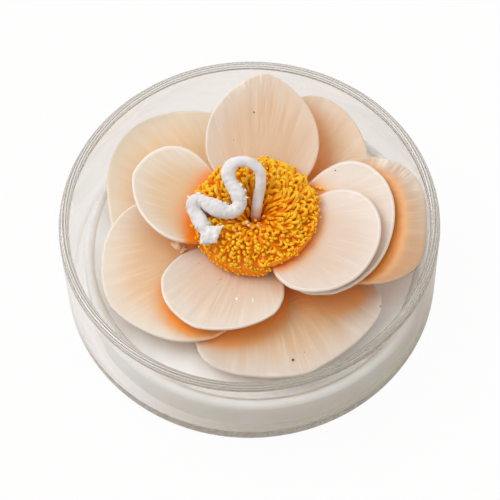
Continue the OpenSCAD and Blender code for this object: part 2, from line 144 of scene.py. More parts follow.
def blend(tree, share, first, second):
    """A mix of two colours."""
    node = add_node(tree, "ShaderNodeMix", {"data_type": "RGBA"})
    for index, value in ((0, share), (6, first), (7, second)):
        feed(tree, node.inputs[index], value)
    return node.outputs[2]


def new_material(name):
    """An empty material with its Principled shader, ready for its nodes."""
    material = bpy.data.materials.new(name)
    material.use_nodes = True
    tree = material.node_tree
    tree.nodes.clear()
    shader = tree.nodes.new("ShaderNodeBsdfPrincipled")
    output = tree.nodes.new("ShaderNodeOutputMaterial")
    tree.links.new(shader.outputs[0], output.inputs[0])
    return material, tree, shader


def noise(tree, scale, detail=2.0, place=None):
    """A noise pattern over the piece's own coordinates, or over another place."""
    if place is None:
        place = add_node(tree, "ShaderNodeTexCoord").outputs["Object"]
    return fetch(tree, "ShaderNodeTexNoise", Vector=place, Scale=scale, Detail=detail)


def bump(tree, shader, height, distance, strength=1.0):
    """Relief on the shader's surface."""
    relief = add_node(tree, "ShaderNodeBump", Height=height, Distance=distance, Strength=strength)
    tree.links.new(relief.outputs[0], shader.inputs["Normal"])


class Inputs:
    """The named inputs of a Geometry Nodes tree, as terms."""

    def __init__(self, tree, kinds):
        for label, kind in kinds.items():
            tree.interface.new_socket(label, in_out="INPUT", socket_type="NodeSocket" + kind)
        self.entry = tree.nodes.new("NodeGroupInput")
        self.tree = tree

    def __getitem__(self, label):
        return Term(self.tree, self.entry.outputs[label])


def new_tree(name, kinds):
    """An empty Geometry Nodes tree with its named inputs."""
    tree = bpy.data.node_groups.new(name, "GeometryNodeTree")
    inputs = Inputs(tree, kinds)
    tree.interface.new_socket("Geometry", in_out="OUTPUT", socket_type="NodeSocketGeometry")
    return tree, inputs


def end_tree(tree, geometry, material):
    """Ends a tree in Realize Instances, smooth shading and Set Material."""
    real = add_node(tree, "GeometryNodeRealizeInstances", Geometry=geometry)
    smooth = add_node(tree, "GeometryNodeSetShadeSmooth", Geometry=real.outputs[0])
    painted = add_node(tree, "GeometryNodeSetMaterial",
        Geometry=smooth.outputs[0], Material=material)
    output = tree.nodes.new("NodeGroupOutput")
    tree.links.new(painted.outputs[0], output.inputs[0])


def keep(tree, geometry, name, value):
    """Stores a number on the points, for the materials."""
    return add_node(tree, "GeometryNodeStoreNamedAttribute", {"data_type": "FLOAT"},
        Geometry=geometry, Name=name, Value=value).outputs[0]


def point(tree, x, y, z):
    """A vector from its three numbers."""
    return add_node(tree, "ShaderNodeCombineXYZ", X=x, Y=y, Z=z).outputs[0]


def parts(tree, vector):
    """The three numbers of a vector, as terms."""
    return [Term(tree, s) for s in add_node(tree, "ShaderNodeSeparateXYZ", Vector=vector).outputs]


def grow(name, tree, values, start=None):
    """Runs a tree once and keeps its result as a plain mesh piece."""
    maker = bpy.data.objects.new(name + "_start", start or bpy.data.meshes.new(name))
    bpy.context.scene.collection.objects.link(maker)
    modifier = maker.modifiers.new(tree.name, "NODES")
    modifier.node_group = tree
    for item in tree.interface.items_tree:
        if item.in_out == "INPUT" and item.name in values:
            modifier[item.identifier] = values[item.name]
    graph = bpy.context.evaluated_depsgraph_get()
    mesh = bpy.data.meshes.new_from_object(
        maker.evaluated_get(graph), preserve_all_data_layers=True, depsgraph=graph)
    maker.modifiers.clear()
    bpy.data.objects.remove(maker)
    piece = bpy.data.objects.new(name, mesh)
    mesh.name = name
    bpy.context.scene.collection.objects.link(piece)
    return piece


def dress(piece, material):
    """Gives a finished piece its material and the one body that it rides on."""
    piece.data.materials.clear()
    piece.data.materials.append(material)
    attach(piece, "root")


def dress_node(node, material):
    """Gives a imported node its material, and keeps its shape."""
    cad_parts[node].data.materials.clear()
    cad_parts[node].data.materials.append(material)


glass, tree, shader = new_material("clear_glass")
shader.inputs["Base Color"].default_value = colour("#fefefe")
shader.inputs["Transmission Weight"].default_value = 1.0
shader.inputs["IOR"].default_value = 1.5
shader.inputs["Roughness"].default_value = 0.0
# The press leaves faint waves, and the glass takes a grey tint where light runs far in it
bump(tree, shader, noise(tree, 70.0, 1.0), 0.2 * mm, 0.2)
glass_tint = add_node(tree, "ShaderNodeVolumeAbsorption", Color=colour("#d6cfbe"), Density=9.0)
tree.links.new(glass_tint.outputs[0], tree.nodes["Material Output"].inputs["Volume"])


def arc(middle_r, middle_z, radius, start, end, steps):
    """Points on an arc of a section, as distance from the axis and height."""
    turns = [math.radians(start + (end - start) * i / steps) for i in range(steps + 1)]
    return [(middle_r + radius * math.cos(t), middle_z + radius * math.sin(t)) for t in turns]


def straight(first, last, steps):
    """Points between two others, without them."""
    run, rise = last[0] - first[0], last[1] - first[1]
    return [(first[0] + run * i / steps, first[1] + rise * i / steps) for i in range(1, steps)]


# The section runs from the foot's middle over the lip to the middle of the glass floor
foot_steps, lip_steps, corner_steps = 16, 40, 12
floor_steps, wall_steps, steps_around = 12, 16, 241
foot_middle, floor_middle = (0.0, 0.0), (0.0, glass_floor)
foot_arc = arc(dish_r - foot_round, foot_round, foot_round, -90, 0, foot_steps)
lip_arc = arc(dish_r - lip_r, dish_high.z - lip_r, lip_r, 0, 180, lip_steps)
inner_arc = arc(inner_r - inner_round, glass_floor + inner_round, inner_round, 0, -90, corner_steps)
section = ([foot_middle] + straight(foot_middle, foot_arc[0], floor_steps) + foot_arc
    + straight(foot_arc[-1], lip_arc[0], wall_steps) + lip_arc
    + straight(lip_arc[-1], inner_arc[0], wall_steps) + inner_arc
    + straight(inner_arc[-1], floor_middle, floor_steps) + [floor_middle])
section_line = bpy.data.curves.new("dish_section", "CURVE")
section_line.dimensions = "3D"
spline = section_line.splines.new("POLY")
spline.points.add(len(section) - 1)
for knot, (out, up) in zip(spline.points, section):
    knot.co = (out, 0.0, up, 1.0)

# A flat grid is rolled into a tube, and each of its rows goes to one point of the section
weld = 0.002 * mm
tree, size = new_tree("pressed_dish", {
    "Geometry": "Geometry", "Section Points": "Int", "Steps Around": "Int", "Glass": "Material"})
grid = add_node(tree, "GeometryNodeMeshGrid",
    Vertices_X=size["Steps Around"], Vertices_Y=size["Section Points"])
place = fetch(tree, "GeometryNodeInputPosition")
angle = (parts(tree, place)[0] + 0.5) * (2 * math.pi)
row = reckon("MODULO", fetch(tree, "GeometryNodeInputIndex"), size["Section Points"])
on_section = fetch(tree, "GeometryNodeSampleIndex", {"data_type": "FLOAT_VECTOR"},
    Geometry=size["Geometry"], Value=place, Index=row)
out, _, up = parts(tree, on_section)
turned = add_node(tree, "GeometryNodeSetPosition", Geometry=grid.outputs[0],
    Position=point(tree, out * reckon("COSINE", angle), out * reckon("SINE", angle), up))
welded = add_node(tree, "GeometryNodeMergeByDistance", Geometry=turned.outputs[0], Distance=weld)
end_tree(tree, welded.outputs[0], size["Glass"])
dish = grow("glass_dish_look", tree, {
    "Section Points": len(section), "Steps Around": steps_around, "Glass": glass}, section_line)
dress(dish, glass)
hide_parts("glass_dish")


# Wick tab: a stamped foot of tinned sheet, crimped around the wick and sunk in the wax.
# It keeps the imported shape, and shows only from below, through the glass floor.
tin, tree, shader = new_material("tinned_sheet")
shader.inputs["Metallic"].default_value = 1.0
tin_grain = noise(tree, 900.0, 4.0)
skin = blend(tree, tin_grain, colour("#b5b4b0"), colour("#d2d1cc"))
feed(tree, shader.inputs["Base Color"], skin)
feed(tree, shader.inputs["Roughness"], 0.28 + 0.2 * tin_grain)
dress_node("wick_tab", tin)


# Wax disc: white soy wax cast in a mould and dropped into the dish, which it nearly fills.
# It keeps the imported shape. Its satin skin has faint frosting and shallow dimples.
disc_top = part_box("wax_disc")[1].z


def spread_light(shader, weight, reach, colours=(1.0, 0.2, 0.1)):
    """Light that spreads inside wax: its share, its reach, and each colour's share of the reach."""
    shader.inputs["Subsurface Weight"].default_value = weight
    shader.inputs["Subsurface Scale"].default_value = reach
    shader.inputs["Subsurface Radius"].default_value = colours


white_wax, tree, shader = new_material("white_wax")
frosting = noise(tree, 160.0, 5.0)
dimples = noise(tree, 700.0, 3.0)
feed(tree, shader.inputs["Base Color"],
    blend(tree, ramp(frosting, 0.35, 0.7), colour("#faf0ea"), colour("#fdf7f3")))
feed(tree, shader.inputs["Roughness"], 0.4 + 0.15 * frosting)
spread_light(shader, 0.9, 4.5 * mm, (1.0, 0.85, 0.7))
bump(tree, shader, frosting + 0.3 * dimples, 0.12 * mm, 0.5)
dress_node("wax_disc", white_wax)


# Petals: five outer and five inner ones of dyed soy wax, each pressed in a veined mould and bent
# while warm. They are stuck to the disc and to each other at their roots, and the list below goes
# from the lowest to the topmost.
flower_x = 1.5 * mm
flower_y = 3.2 * mm
root_r = 4.5 * mm
petal_t = 1.7 * mm
petal_edge_t = 0.9 * mm
petal_space = 0.2 * mm
root_slim = 1.5
# Direction in degrees, space to the glass, breadth and fullness as shares, then bend, rise, bow,
# cup and tilt in millimetres, bluntness of the tip, and the layer of the stack
PETALS = {
    "outer_petal_back_left": (144, 1.1, 1.22, -0.16, -1.3, 5.3, -0.9, 0.1, -1.9, 1.03, 0),
    "outer_petal_front": (-74, 4.5, 1.2, 0.4, -0.6, 2.4, 0, 1.5, 0.8, 1.6, 0),
    "outer_petal_back_right": (47, 1.3, 0.95, 0.06, 6.1, 5.3, -0.9, 0.2, 0.4, 0.96, 0.6),
    "outer_petal_left": (-151, 4.8, 1.15, -0.03, 0.9, 2.7, 0, 0.2, 0.3, 1.27, 1),
    "outer_petal_right": (-4, 0.5, 0.9, 0.18, -2.7, 9.2, 0.7, 2, 2.6, 0.7, 1),
    "inner_petal_lower_right": (-16, 9, 1.28, 0.01, 2, 7, 0.6, 2.5, 2.2, 0.95, 2),
    "inner_petal_left": (167, 12.2, 0.94, 0.18, -4.8, 6.7, 0.1, 3.1, 1.2, 1.3, 2),
    "inner_petal_front": (-112, 14, 1.04, 0.13, -3, 3.5, -0.7, 1.5, 0.3, 1.3, 2),
    "inner_petal_back": (83, 1.9, 0.84, -0.12, 0.9, 9.1, 0, 2.2, 0.3, 1.3, 2.5),
    "inner_petal_upper_right": (-29, 11.9, 1.14, 0.07, 0.5, 6.9, 0.4, 2.1, 0.2, 0.95, 3),
}
# Height of the thickened lip and depth of the veins, in millimetres. Then how sharply the lip
# stands, where the pale edge starts and how pale it is. Then how strong the painted shade glow,
# orange standing in for light through the wax in the shade, is beside the petals above and beside
# the crown, each with its reach in millimetres, and how much painted shade darkens the side away
# from the light. Last come the part of the edge that is fluted, a second pale line, and the
# colours of face, edge and painted shade glow.
PETAL_LOOKS = {
    "outer_petal_back_left": (0.1, 0.14, 14, 0.95, 0.1, (1.0, 3), (6, 5), 0, None, None,
        "#e9c496", "#eadac3", "#f5a440"),
    "outer_petal_front": (0.1, 0.24, 14, 0.97, 0.25, (1.25, 2.6), (1.4, 6), 0, None, None,
        "#d8b48e", "#d6c8ba", "#ff9420"),
    "outer_petal_back_right": (0.1, 0.18, 14, 0.97, 0.2, (2.8, 3.0), (5, 4.5), 0, None, None,
        "#e2bd94", "#e2cbb2", "#ff921e"),
    "outer_petal_left": (0.15, 0.1, 14, 0.96, 0.25, (1.6, 2.6), (14, 4.6), 0, None, None,
        "#e0bb94", "#e3d6c6", "#ff9e38"),
    # Its darker face, edge and glow colours and strong dark side are painted shade, for a petal in
    # shade
    "outer_petal_right": (0.1, 0.16, 14, 0.97, 0.35, (1.5, 2.6), (0.9, 4), 0.8, (0.28, 0.42), None,
        "#9c784e", "#c8b49e", "#d88428"),
    "inner_petal_lower_right": (0.15, 0.16, 14, 0.975, 0.5, (0.4, 3), (3.2, 3.2), 0.1, None, 0.945,
        "#dac6b2", "#e2d5ca", "#f27c06"),
    "inner_petal_left": (0.3, 0.06, 8, 0.92, 0.35, (0.3, 4), (11, 3.2), 0, None, None,
        "#dcc09a", "#e2d6c6", "#f48c0a"),
    "inner_petal_front": (0.2, 0.2, 14, 0.95, 0.3, (0.5, 4), (0.3, 2.2), 0, None, None,
        "#dec6b0", "#e0d4c6", "#f09c50"),
    "inner_petal_back": (0.15, 0.22, 14, 0.965, 0.25, (0.3, 4), (0.8, 3), 0.3, (0.31, 0.5), None,
        "#dabb9c", "#decdbb", "#eda058"),
    "inner_petal_upper_right": (0.2, 0.14, 14, 0.975, 0.6, (1.8, 2.2), (0.8, 2.2), 0.1, None, 0.94,
        "#d9c4b2", "#e0d2c7", "#fb8e12"),
}


def read_attribute(tree, name):
    """A number that was stored on the points."""
    node = add_node(tree, "ShaderNodeAttribute", {"attribute_name": name})
    return Term(tree, node.outputs["Fac"])


petal_tree, size = new_tree("petal", {
    "Turn": "Float", "Length": "Float", "Width": "Float", "Fullness": "Float", "Bend": "Float",
    "Rise": "Float", "Bow": "Float", "Cup": "Float", "Tilt": "Float", "Point": "Float",
    "Root Height": "Float", "Lip": "Float", "Lip Sharpness": "Float", "Vein Depth": "Float",
    "Seed": "Float",
    "Steps Around": "Int", "Steps Across": "Int", "Wax": "Material"})
tree = petal_tree
grid = add_node(tree, "GeometryNodeMeshGrid",
    Vertices_X=size["Steps Around"], Vertices_Y=size["Steps Across"])
grid_x, grid_y, _ = parts(tree, fetch(tree, "GeometryNodeInputPosition"))
angle = (grid_x + 0.5) * (2 * math.pi)
across = grid_y + 0.5
# The section runs over the upper face, round the edge and back along the underside
face_part = 0.46
rim_start = 0.97
rim_turn = ramp(across, face_part, 1 - face_part) * math.pi
over = (1 + reckon("COSINE", rim_turn)) / 2
reach = reckon("MINIMUM", reckon("MINIMUM", across / face_part, 1.0),
    reckon("MINIMUM", (1 - across) / face_part, 1.0))
rim = reach * rim_start + (1 - rim_start) * reckon("SINE", rim_turn)
# The outline, which wobbles a little
edge_wobble = 0.05
side = reckon("SINE", angle)
edge_u = (1 - reckon("COSINE", angle)) / 2
circle = point(tree, reckon("COSINE", angle), side, size["Seed"])
wobble = fetch(tree, "ShaderNodeTexNoise", Vector=circle, Scale=2.6, Detail=2.0)
edge_w = (reckon("SIGN", side) * size["Width"] * 0.5
    * (reckon("ABSOLUTE", side) ** (root_slim + (size["Point"] - root_slim) * edge_u))
    * (1 - size["Fullness"] * (1 - 2 * edge_u)) * (1 + edge_wobble * (wobble - 0.5)))
u = 0.5 + rim * (edge_u - 0.5)
w = rim * edge_w
v = w / (size["Width"] * 0.5)
along = u * size["Length"]
bent = w + size["Bend"] * u * u
# Veins fan out from a point behind the root, and sink into the upper face
fan_behind = 6 * mm
fan = reckon("ARCTAN2", bent, along + fan_behind)
vein_place = point(tree, fan * 9, u * 0.8, size["Seed"])
vein = fetch(tree, "ShaderNodeTexNoise", Vector=vein_place, Scale=2.2, Detail=2.0)
thickness = petal_edge_t + (petal_t - petal_edge_t) * (1 - rim * rim)
z = (size["Root Height"] + size["Rise"] * u + size["Bow"] * 4 * u * (1 - u)
    + size["Cup"] * v * v + size["Tilt"] * v * u - thickness * (1 - over)
    + over * size["Lip"] * (rim ** size["Lip Sharpness"])
    - over * size["Vein Depth"] * ramp(vein, 0.35, 0.75) * ramp(u, 0.1, 0.5)
    * ramp(1 - rim, 0.0, 0.1))
turn = size["Turn"]
outward = root_r + along
spot = point(tree,
    flower_x + outward * reckon("COSINE", turn) - bent * reckon("SINE", turn),
    flower_y + outward * reckon("SINE", turn) + bent * reckon("COSINE", turn), z)
marked = grid.outputs[0]
for name, value in (("along", u), ("rim", rim), ("fan", fan), ("round", angle / (2 * math.pi))):
    marked = keep(tree, marked, name, value)
shape = add_node(tree, "GeometryNodeSetPosition", Geometry=marked, Position=spot)
welded = add_node(tree, "GeometryNodeMergeByDistance", Geometry=shape.outputs[0], Distance=weld)
end_tree(tree, welded.outputs[0], size["Wax"])


def run_to_glass(turn):
    """Distance from a petal's root to the glass wall, along its direction."""
    way = Vector((math.cos(turn), math.sin(turn)))
    root = Vector((flower_x, flower_y)) + root_r * way
    return math.sqrt(root.dot(way) ** 2 - root.length_squared + inner_r ** 2) - root.dot(way)


vein_pale, bloom_pale, edge_pale = colour("#f6eadd"), colour("#f8f2ec"), colour("#f7f1ec")
# Painted shade colours: the darker side away from the light, and the faint orange glow
painted_shade_colour, faint_shade_glow = colour("#bd8a55"), colour("#e6ae78")
flute_fade = 0.04
pale_fade = 0.03
line_rise, line_width, line_end = 0.012, 0.02, 0.035


def petal_wax(name, pale_from, pale, painted_shade_side, flutes, second_line, face, edge, shade_glow_colour):
    """Dyed wax pale towards the edge, with painted shade: orange glow near the root and petals
    above, a darker side away from the light.
    """
    material, tree, shader = new_material(name + "_wax")
    along = read_attribute(tree, "along")
    rim = read_attribute(tree, "rim")
    fan = read_attribute(tree, "fan")
    shade_glow = read_attribute(tree, "shade_glow")
    streaks = noise(tree, 4.0, 3.0, point(tree, fan * 6, along * 0.5, 0.0))
    hairs = noise(tree, 12.0, 2.0, point(tree, fan * 6, along * 0.3, 1.0))
    mottling = noise(tree, 260.0, 4.0)
    bloom = noise(tree, 90.0, 5.0)
    paleness = ramp(rim + 0.3 * (streaks - 0.5) + 0.2 * (bloom - 0.5), 0.4, 1.02)
    skin = blend(tree, paleness, colour(face), colour(edge))
    skin = blend(tree, ramp(streaks, 0.52, 0.8) * 0.22, skin, vein_pale)
    skin = blend(tree, ramp(hairs, 0.58, 0.8) * 0.22, skin, colour("#fbf2ea"))
    skin = blend(tree, ramp(bloom * rim, 0.5, 0.75) * 0.4, skin, bloom_pale)
    # Painted shade: the side away from the light is darkened towards a shade colour
    skin = blend(tree, (1 - ramp(fan, -0.45, 0.3)) * painted_shade_side, skin, painted_shade_colour)
    # Painted shade: an orange glow for light through the wax in the shade, beside petals above and
    # the crown
    shade_glow = shade_glow * (1 - 0.5 * ramp(rim, 0.75, 1.0) * ramp(along, 0.25, 0.5))
    painted_glow = reckon("MINIMUM", shade_glow * (0.8 + 0.4 * streaks) + 0.1 * (mottling - 0.5) * shade_glow, 1.0)
    skin = blend(tree, ramp(painted_glow, 0.0, 0.6), skin, faint_shade_glow)
    skin = blend(tree, ramp(painted_glow, 0.35, 1.0), skin, colour(shade_glow_colour))
    relief = streaks * 0.7 + hairs * 0.3 + mottling * 0.15
    if flutes:
        turn_share = read_attribute(tree, "round")
        start, end = flutes
        fluted = (ramp(turn_share, start, start + flute_fade)
            * (1 - ramp(turn_share, end - flute_fade, end)) * ramp(rim, 0.8, 0.93))
        wave = ramp(noise(tree, 75.0, 1.0, point(tree, turn_share, rim * 0.02, 0.0)), 0.4, 0.65)
        skin = blend(tree, fluted * wave * 0.45, skin, colour("#fff7ee"))
        relief = relief + fluted * wave * 1.5
    if second_line:
        line = (ramp(rim, second_line, second_line + line_rise)
            - ramp(rim, second_line + line_width, second_line + line_end))
        skin = blend(tree, line * 0.4, skin, colour("#fcf5ee"))
        relief = relief + line * 0.5
    pale_edge = ramp(rim, pale_from, pale_from + pale_fade) * (1 - painted_glow) * pale
    skin = blend(tree, pale_edge, skin, edge_pale)
    feed(tree, shader.inputs["Base Color"], skin)
    feed(tree, shader.inputs["Roughness"], 0.4 + 0.15 * mottling)
    spread_light(shader, 0.25, 1.6 * mm, (1.0, 0.85, 0.6))
    bump(tree, shader, relief, 0.22 * mm, 0.5)
    return material


layer_step = petal_t + petal_space
lowest_root = disc_top + petal_space + petal_edge_t
petals = []
for name, sizes in PETALS.items():
    turn, space, breadth, fullness, bend, rise, bow, cup, tilt, pointed, layer = sizes
    lip, veins, sharpness, pale_from, pale, _, _, *finish = PETAL_LOOKS[name]
    length = run_to_glass(math.radians(turn)) - space * mm
    material = petal_wax(name, pale_from, pale, *finish)
    piece = grow(name + "_look", petal_tree, {
        "Turn": math.radians(turn), "Length": length, "Width": breadth * length,
        "Fullness": fullness, "Bend": bend * mm, "Rise": rise * mm, "Bow": bow * mm,
        "Cup": cup * mm, "Tilt": tilt * mm,
        "Point": pointed, "Root Height": lowest_root + layer * layer_step,
        "Lip": lip * mm, "Lip Sharpness": float(sharpness), "Vein Depth": veins * mm,
        "Seed": float(len(petals)), "Steps Around": 193, "Steps Across": 48, "Wax": material})
    dress(piece, material)
    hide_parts(name)
    petals.append(piece)


def mesh_tree(pieces):
    """One search tree over several finished pieces."""
    corners, faces = [], []
    for piece in pieces:
        start = len(corners)
        corners += [v.co.copy() for v in piece.data.vertices]
        faces += [[start + i for i in f.vertices] for f in piece.data.polygons]
    return BVHTree.FromPolygons(corners, faces)


# Painted shade: an orange glow, standing in for light that comes back through the wax in the shade,
# is painted where the wax is shut in: around the crown, and beside the inner petals above, most of
# all in front of them, on the side away from the light. A height counts for less than the same
# distance in plan.
shaded_side = Vector((0.5, -0.87, 0.0))
petal_sided, crown_sided, least_side = 0.4, 0.7, 0.1
height_share = 0.2
fall_off = 1.3
crown_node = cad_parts["stamen_crown"]
crown_tree = mesh_tree([crown_node])


def nearness(tree, spot, strength, reach, sided, depth):
    """How strongly a petal's spot gets painted shade glow from what lies over it, or beside it down
    to a depth.
    """
    nearest = tree.find_nearest(spot)[0]
    if nearest is None or nearest.z < spot.z - depth:
        return 0.0
    away = Vector((spot.x - nearest.x, spot.y - nearest.y, 0.0))
    side = away.normalized().dot(shaded_side) if away.length > 0.3 * mm else 1.0
    distance = math.hypot(away.length, height_share * (spot.z - nearest.z))
    nearby = strength * math.exp(-(distance / (reach * mm)) ** fall_off)
    return nearby * max(least_side, 1 - sided + sided * side)


for index, (piece, looks) in enumerate(zip(petals, PETAL_LOOKS.values())):
    by_petal, by_crown = looks[5:7]
    above = [mesh_tree([p]) for p in petals[index + 1:] if p.name.startswith("inner")]
    # Each point keeps the strength of its painted shade glow, for the petal's material
    shade_glow = piece.data.attributes.new("shade_glow", "FLOAT", "POINT")
    for vertex, cell in zip(piece.data.vertices, shade_glow.data):
        stains = [nearness(petal, vertex.co, *by_petal, petal_sided, petal_t) for petal in above]
        stains.append(nearness(crown_tree, vertex.co, *by_crown, crown_sided, 4 * petal_t))
        cell.value = max(stains)


# Stamen crown: many thin filaments of yellow wax, each curled over at its tip and set in soft wax.
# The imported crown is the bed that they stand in, and they radiate from the pit around the wick.
crown_low, crown_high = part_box("stamen_crown")
crown_r = (crown_high.x - crown_low.x) / 2
yellow_wax, tree, shader = new_material("yellow_wax")
coordinates = add_node(tree, "ShaderNodeTexCoord").outputs["Object"]


def from_middle(tree, place):
    """Distance in plan from the flower's middle, and its share to the right and to the back."""
    right, back, _ = parts(tree, place)
    right, back = right - flower_x, back - flower_y
    return (right ** 2.0 + back ** 2.0) ** 0.5, right, back


away, _, _ = from_middle(tree, coordinates)
tip = read_attribute(tree, "tip")
wax_grain = noise(tree, 500.0, 3.0)
clumps = noise(tree, 260.0, 3.0)
# The orange of the bed, the filaments' roots and the middle is partly the wax's own colour and
# partly painted shade, where the crown is shut in; the tips are yellow
outward_share = ramp(away, 3 * mm, 9 * mm)
root_and_shade_orange = blend(tree, clumps, colour("#f48600"), colour("#fb9a02"))
tip_yellow = blend(tree, clumps, colour("#fab20c"), colour("#ffcd26"))
yellow_share = ramp(tip + 0.3 * (wax_grain - 0.5), 0.05, 0.9) * (0.6 + 0.4 * outward_share)
skin = blend(tree, yellow_share, root_and_shade_orange, tip_yellow)
feed(tree, shader.inputs["Base Color"], skin)
feed(tree, shader.inputs["Roughness"], 0.36 + 0.15 * wax_grain)
shader.inputs["Specular IOR Level"].default_value = 0.3
spread_light(shader, 0.2, 0.5 * mm, (1.0, 0.8, 0.4))
bump(tree, shader, wax_grain, 0.15 * mm, 0.5)
dress_node("stamen_crown", yellow_wax)

tree, size = new_tree("stamens", {
    "Crown": "Object", "Spacing": "Float", "Crown Radius": "Float", "Pit Radius": "Float",
    "Filament Radius": "Float", "Loop Length": "Float", "Loop Width": "Float", "Sunk": "Float",
    "Seed": "Int", "Wax": "Material"})


def filament(tree, segments, x, y, z, thick, tip=lambda t: t):
    """A filament: a line bent to a formula of its own share, with a round section."""
    line = add_node(tree, "GeometryNodeCurvePrimitiveLine")
    cut = add_node(tree, "GeometryNodeResampleCurve", Curve=line.outputs[0], Count=segments + 1)
    share = fetch(tree, "GeometryNodeSplineParameter")
    bent_line = add_node(tree, "GeometryNodeSetPosition", Geometry=cut.outputs[0],
        Position=point(tree, x(share), y(share), z(share)))
    marked = keep(tree, bent_line.outputs[0], "tip", tip(share))
    ring = add_node(tree, "GeometryNodeCurvePrimitiveCircle", Resolution=5, Radius=1.0)
    tube = add_node(tree, "GeometryNodeCurveToMesh", Curve=marked, Profile_Curve=ring.outputs[0],
        Scale=thick(share), Fill_Caps=True)
    return tube.outputs[0]


# Three kinds: a loop with both ends in the wax, a hook, and the nearly straight rods in the pit
long = size["Loop Length"]
wide = size["Loop Width"]
thin = size["Filament Radius"]
loop = filament(tree, 10,
    lambda t: long * (1 - reckon("ABSOLUTE", 2 * t - 1) ** 2.6),
    lambda t: wide * 0.5 * reckon("SINE", (t - 0.5) * math.pi),
    lambda t: 0.3 * long * reckon("SINE", t * math.pi), lambda t: thin,
    lambda t: 1 - reckon("ABSOLUTE", 2 * t - 1))
hook = filament(tree, 9,
    lambda t: long * reckon("SINE", t * 2.2) * 0.8,
    lambda t: wide * 0.2 * reckon("SINE", t * 4.0),
    lambda t: 0.18 * long * (1 - reckon("COSINE", t * 3.6)),
    lambda t: thin * (0.95 + 0.3 * t * t))
rod = filament(tree, 7,
    lambda t: long * 1.25 * t,
    lambda t: wide * 0.12 * reckon("SINE", t * 5.0),
    lambda t: 0.12 * long * reckon("SINE", t * 2.8), lambda t: thin * (0.8 + 0.35 * t))


def chance(tree, low, high, seed):
    """A random number for each point."""
    node = add_node(tree, "FunctionNodeRandomValue", {"data_type": "FLOAT"}, Seed=seed)
    feed(tree, node.inputs[2], low)
    feed(tree, node.inputs[3], high)
    return Term(tree, node.outputs[1])


# They are seated on the crown's top and on its side, but not on the side of the pit
crown = add_node(tree, "GeometryNodeObjectInfo", {"transform_space": "ORIGINAL"},
    Object=size["Crown"])
away, right, back = from_middle(tree, fetch(tree, "GeometryNodeInputPosition"))
upward = parts(tree, fetch(tree, "GeometryNodeInputNormal"))[2]
top_slope, side_slope = 0.12, -0.45
on_top = (reckon("GREATER_THAN", upward, top_slope)
    * reckon("GREATER_THAN", away, size["Pit Radius"])
    * reckon("LESS_THAN", away, size["Crown Radius"] - 1.0 * mm))
on_side = (reckon("GREATER_THAN", upward, side_slope)
    * reckon("GREATER_THAN", away, size["Crown Radius"] - 0.8 * mm))
most_per_square_metre = 4000000.0
seats = add_node(tree, "GeometryNodeDistributePointsOnFaces", {"distribute_method": "POISSON"},
    Mesh=crown.outputs["Geometry"], Selection=reckon("MAXIMUM", on_top, on_side),
    Distance_Min=size["Spacing"], Density_Max=most_per_square_metre, Seed=size["Seed"])
# Each filament lies outwards along the crown, and climbs where it stands on its outer side
over_edge = ramp(away, size["Crown Radius"] - 3 * mm, size["Crown Radius"] - 1 * mm)
outwards = point(tree, right / away, back / away, over_edge * 0.8)
lying = add_node(tree, "FunctionNodeAxesToRotation", {"primary_axis": "Z", "secondary_axis": "X"},
    Primary_Axis=seats.outputs["Normal"], Secondary_Axis=outwards)
inner_part = 1 - ramp(away, 5 * mm, 8 * mm)
standing = reckon("MAXIMUM", upward, 0.0) * over_edge
to_front = 1 - ramp(back, -8 * mm, 2 * mm)
lift = (-0.12 + chance(tree, -0.75, -0.2, 4) * (1 - 0.7 * inner_part) * (1 - over_edge)
    * (1 - 0.5 * to_front) - standing)
swing = chance(tree, -0.5, 0.5, 5) * (1 - 0.6 * inner_part)
roll = chance(tree, -0.5, 0.5, 6)
swung = add_node(tree, "FunctionNodeEulerToRotation", Euler=point(tree, roll, lift, swing))
stance = add_node(tree, "FunctionNodeRotateRotation", {"rotation_space": "LOCAL"},
    Rotation=lying.outputs[0], Rotate_By=swung.outputs[0])
sunk = add_node(tree, "ShaderNodeVectorMath", {"operation": "SCALE"},
    Vector=seats.outputs["Normal"], Scale=size["Sunk"] * -1.0)
seated = add_node(tree, "GeometryNodeSetPosition",
    Geometry=seats.outputs["Points"], Offset=sunk.outputs[0])
rods_end = 6 * mm
in_pit = reckon("LESS_THAN", away + chance(tree, -1.2 * mm, 1.2 * mm, 7), rods_end)
# Most of those at the back right are loops, and most of those at the front are hooks
back_right = (right + back) / away
looped = reckon("LESS_THAN", chance(tree, 0.0, 1.0, 2), 0.45 + 0.35 * back_right)
grown = chance(tree, 0.8, 1.2, 8) * (1 - 0.45 * over_edge) * (1 - 0.15 * to_front)
crowd = tree.nodes.new("GeometryNodeJoinGeometry")
outside = 1 - in_pit
for shape, chosen in ((rod, in_pit), (loop, outside * looped), (hook, outside * (1 - looped))):
    stamen = add_node(tree, "GeometryNodeInstanceOnPoints", Points=seated.outputs[0],
        Instance=shape, Selection=chosen, Rotation=stance.outputs[0], Scale=grown)
    tree.links.new(stamen.outputs[0], crowd.inputs[0])
end_tree(tree, crowd.outputs[0], size["Wax"])
stamens = grow("stamens", tree, {
    "Crown": crown_node, "Spacing": 0.8 * mm, "Crown Radius": crown_r, "Pit Radius": 2.0 * mm,
    "Filament Radius": 0.4 * mm, "Loop Length": 2.6 * mm, "Loop Width": 1.4 * mm,
    "Sunk": 0.25 * mm, "Seed": 4, "Wax": yellow_wax})
dress(stamens, yellow_wax)


# Wick: a thin braid of cotton dipped in wax, cut long, curled over and frayed towards its end.
# It leaves the wax in the pit of the crown, and its end is torn into shreds.
wick_d = 2.5 * mm
pit_t = 1 * mm
crown_floor = lowest_root + 3 * layer_step + pit_t
